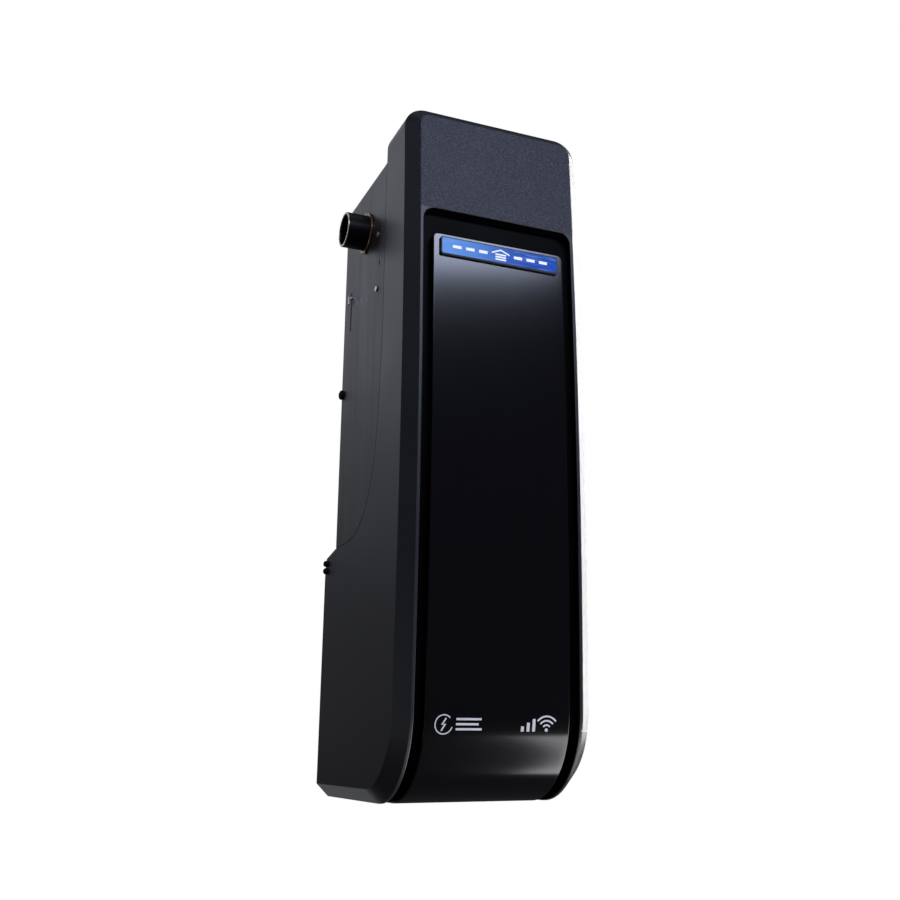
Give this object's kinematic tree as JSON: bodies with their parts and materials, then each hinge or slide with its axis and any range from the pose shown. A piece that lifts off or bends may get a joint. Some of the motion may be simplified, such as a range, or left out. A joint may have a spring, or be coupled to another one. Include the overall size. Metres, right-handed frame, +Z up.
{
  "type": "garage door opener",
  "caption": "Wall-mounted jackshaft garage door opener: tall crowned cover, steel chassis, hollow output shaft, worm drive, battery backup and side control tray.",
  "frame": {"origin": "on the output shaft's axis, where the door's torsion bar passes, half-way along the shaft", "axes": "+X along the torsion bar to the right seen from the front, -Y the front, +Y towards the wall, +Z up"},
  "size_m": [0.194, 0.1975, 0.532],
  "materials": {
    "cover_plastic": "black, satin, fine grain at the top",
    "gloss_panel": "high gloss black",
    "badge_blue": "metallic blue",
    "chassis_paint": "satin charcoal powder coat",
    "black_oxide_steel": "black oxide steel",
    "bright_steel": "zinc plated",
    "bronze": "oil-impregnated sintered bronze",
    "cast_alloy": "die cast",
    "copper": "enamelled winding wire",
    "ferrite": "ferrite magnet",
    "nylon": "natural nylon",
    "rubber": "moulded",
    "grey_plastic": "satin",
    "black_plastic": "satin",
    "yellow_plastic": "satin",
    "red_plastic": "satin",
    "white_plastic": "satin",
    "circuit_board": "green solder mask",
    "laminated_iron": "lacquered laminations"
  },
  "bodies": {
    "housing": {"front_cover": "cover_plastic", "rear_housing": "cover_plastic", "control_tray": "black_plastic", "gloss_panel": "gloss_panel", "badge": "badge_blue", "chassis": "chassis_paint", "left_bushing": "bronze", "right_bushing": "bronze", "release_spring": "bright_steel", "gearbox_case": "cast_alloy", "gearbox_lid": "cast_alloy", "gearbox_bracket": "cast_alloy", "motor_can": "black_oxide_steel", "motor_end_bell": "cast_alloy", "motor_magnet_left": "ferrite", "motor_magnet_right": "ferrite", "encoder_case": "grey_plastic", "logic_board": "circuit_board", "relay": "black_plastic", "main_capacitor": "black_plastic", "heat_sink": "cast_alloy", "radio_shield": "bright_steel", "beeper": "black_plastic", "transformer_core": "laminated_iron", "transformer_coil": "copper", "battery": "grey_plastic", "battery_tab_red": "red_plastic", "battery_tab_black": "black_plastic", "battery_strap": "bright_steel", "led_lenses": "white_plastic", "terminal_block": "grey_plastic", "cord_gland": "rubber", "rivet_left_upper": "bright_steel", "rivet_left_lower": "bright_steel", "rivet_right_upper": "bright_steel", "rivet_right_lower": "bright_steel", "bracket_screw_left": "black_oxide_steel", "bracket_screw_right": "black_oxide_steel", "cover_screw_left_upper": "black_oxide_steel", "cover_screw_left_lower": "black_oxide_steel", "cover_screw_right_upper": "black_oxide_steel", "cover_screw_right_lower": "black_oxide_steel"},
    "rotor": {"worm_shaft": "bright_steel", "armature": "copper"},
    "output": {"output_shaft": "black_oxide_steel", "output_gear": "bronze", "encoder_ring": "nylon"},
    "encoder_wheel": {"encoder_gear": "nylon"},
    "release": {"release_slider": "bright_steel"},
    "fork": {"clutch_fork": "black_oxide_steel"},
    "clutch": {"clutch_ring": "bright_steel"},
    "adjust_button": {"adjust_button": "black_plastic"},
    "up_button": {"up_button": "grey_plastic"},
    "down_button": {"down_button": "grey_plastic"},
    "learn_button": {"learn_button": "yellow_plastic"},
    "tab_1": {"terminal_tab_1": "red_plastic"},
    "tab_2": {"terminal_tab_2": "white_plastic"},
    "tab_3": {"terminal_tab_3": "white_plastic"},
    "tab_4": {"terminal_tab_4": "grey_plastic"},
    "battery_door": {"battery_door": "cover_plastic"}
  },
  "joints": [
    {"name": "motor_spin", "type": "hinge", "parent": "housing", "child": "rotor", "pos_m": [0, -0.0405, 0], "axis": [0, 0, 1], "continuous": true},
    {"name": "output_spin", "type": "hinge", "parent": "housing", "child": "output", "pos_m": [0, 0, 0], "axis": [1, 0, 0], "continuous": true},
    {"name": "encoder_spin", "type": "hinge", "parent": "housing", "child": "encoder_wheel", "pos_m": [0.033, 0.02, -0.0252], "axis": [1, 0, 0], "continuous": true},
    {"name": "release_pull", "type": "slide", "parent": "housing", "child": "release", "axis": [0, 0, -1], "range_m": [0, 0.022], "stiffness_N_per_m": 300, "deforming": ["release_spring"]},
    {"name": "fork_shift", "type": "slide", "parent": "housing", "child": "fork", "axis": [-1, 0, 0], "range_m": [0, 0.006]},
    {"name": "clutch_shift", "type": "slide", "parent": "output", "child": "clutch", "axis": [-1, 0, 0], "range_m": [0, 0.006]},
    {"name": "adjust_press", "type": "slide", "parent": "housing", "child": "adjust_button", "axis": [-1, 0, 0], "range_m": [0, 0.001], "stiffness_N_per_m": 800},
    {"name": "up_press", "type": "slide", "parent": "housing", "child": "up_button", "axis": [-1, 0, 0], "range_m": [0, 0.001], "stiffness_N_per_m": 800},
    {"name": "down_press", "type": "slide", "parent": "housing", "child": "down_button", "axis": [-1, 0, 0], "range_m": [0, 0.001], "stiffness_N_per_m": 800},
    {"name": "learn_press", "type": "slide", "parent": "housing", "child": "learn_button", "axis": [-1, 0, 0], "range_m": [0, 0.001], "stiffness_N_per_m": 800},
    {"name": "tab_1_press", "type": "slide", "parent": "housing", "child": "tab_1", "axis": [-1, 0, 0], "range_m": [0, 0.0013], "stiffness_N_per_m": 800},
    {"name": "tab_2_press", "type": "slide", "parent": "housing", "child": "tab_2", "axis": [-1, 0, 0], "range_m": [0, 0.0013], "stiffness_N_per_m": 800},
    {"name": "tab_3_press", "type": "slide", "parent": "housing", "child": "tab_3", "axis": [-1, 0, 0], "range_m": [0, 0.0013], "stiffness_N_per_m": 800},
    {"name": "tab_4_press", "type": "slide", "parent": "housing", "child": "tab_4", "axis": [-1, 0, 0], "range_m": [0, 0.0013], "stiffness_N_per_m": 800},
    {"name": "battery_door_hinge", "type": "hinge", "parent": "housing", "child": "battery_door", "pos_m": [0, 0.0585, -0.46], "axis": [1, 0, 0], "range_deg": [0, 100]}
  ],
  "couplings": [
    {"joint": "output_spin", "follows": "motor_spin", "ratio": 0.033333},
    {"joint": "encoder_spin", "follows": "motor_spin", "ratio": -0.05},
    {"joint": "fork_shift", "follows": "release_pull", "ratio": 0.27273},
    {"joint": "clutch_shift", "follows": "release_pull", "ratio": 0.27273}
  ]
}
